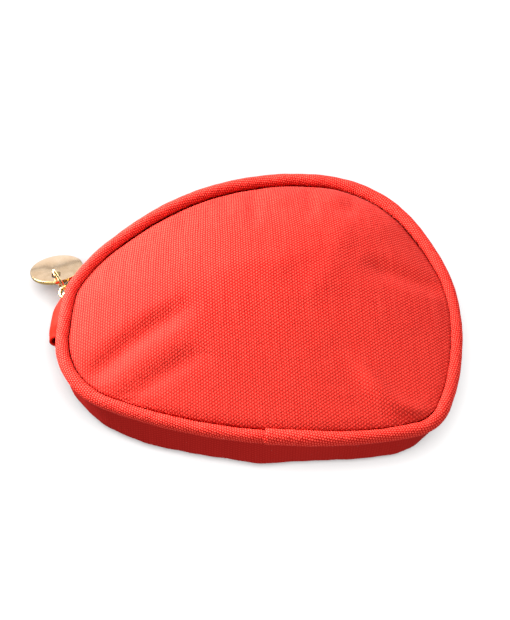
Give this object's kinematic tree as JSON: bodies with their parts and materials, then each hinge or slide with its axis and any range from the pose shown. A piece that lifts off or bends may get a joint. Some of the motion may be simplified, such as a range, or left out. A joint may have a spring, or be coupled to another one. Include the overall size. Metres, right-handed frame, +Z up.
{
  "type": "first aid pouch",
  "caption": "Soft red zipped first aid pouch with piped edge, folding front flap, gold zip slider and disc pull, and packed supplies inside.",
  "frame": {"origin": "middle of the pouch's outline on the face it rests on", "axes": "+X to the right across the pouch, +Y away from the viewer towards the zip's long arc, +Z up out of the front panel"},
  "size_m": [0.1573, 0.1144, 0.0327],
  "materials": {
    "red_fabric": "plain woven polyester, slight sheen",
    "tab_fabric": "smooth woven tape",
    "zip_tape": "fine woven tape",
    "zip_coil": "moulded nylon coil",
    "foam": "closed cell padding foam",
    "lining": "thin woven lining",
    "binding": "woven binding tape",
    "cord": "twisted cotton filler cord",
    "gold": "polished pale gold plating",
    "paper_wrap": "sealed paper wrap",
    "glove_wrap": "clear film over pale blue gloves",
    "plaster": "paper-backed plasters",
    "gauze": "loose woven gauze",
    "tape_cloth": "woven adhesive tape",
    "core_plastic": "moulded core",
    "foil": "metallised film",
    "steel": "brushed"
  },
  "bodies": {
    "pouch": {"back_panel": "red_fabric", "back_foam": "foam", "back_lining": "lining", "back_binding": "binding", "lower_gusset": "red_fabric", "gusset_lining": "lining", "zip_gusset": "red_fabric", "zip_tape_rear": "zip_tape", "zip_coil_rear": "zip_coil", "end_tab_left": "tab_fabric", "end_tab_right": "tab_fabric", "front_panel_lower": "red_fabric", "front_foam_lower": "foam", "front_lining_lower": "lining", "piping_lower": "red_fabric", "piping_cord_lower": "cord", "triangular_bandage": "paper_wrap", "compress_pack": "paper_wrap", "glove_pack": "glove_wrap", "plaster_strips": "plaster", "wound_wipes": "paper_wrap", "gauze_roll_wide": "gauze", "gauze_roll_narrow": "gauze", "tape_winding": "tape_cloth", "tape_core": "core_plastic", "rescue_blanket": "foil", "tweezers": "steel"},
    "flap": {"front_panel_flap": "red_fabric", "front_foam_flap": "foam", "front_lining_flap": "lining", "piping_flap": "red_fabric", "piping_cord_flap": "cord", "zip_tape_front": "zip_tape", "zip_coil_front": "zip_coil"},
    "slider": {"slider_body": "gold"},
    "link": {"pull_link": "gold"},
    "disc": {"pull_disc": "gold"}
  },
  "joints": [
    {"name": "flap_fold", "type": "hinge", "parent": "pouch", "child": "flap", "pos_m": [0, -0.003, 0.0311], "axis": [1, 0, 0], "range_deg": [0, 100], "deforming": ["zip_tape_front", "zip_coil_front"]},
    {"name": "slider_travel", "type": "hinge", "parent": "pouch", "child": "slider", "pos_m": [0.013, -0.03175, 0.0115], "axis": [0, 0, -1], "range_deg": [0, 72]},
    {"name": "link_turn", "type": "hinge", "parent": "slider", "child": "link", "pos_m": [-0.07056, 0.00723, 0.0115], "axis": [0, 0, 1], "range_deg": [-5, 75]},
    {"name": "disc_tilt", "type": "hinge", "parent": "link", "child": "disc", "pos_m": [-0.07423, 0.01247, 0.0115], "axis": [0.9848, 0.1735, 0], "range_deg": [-6, 45]}
  ]
}
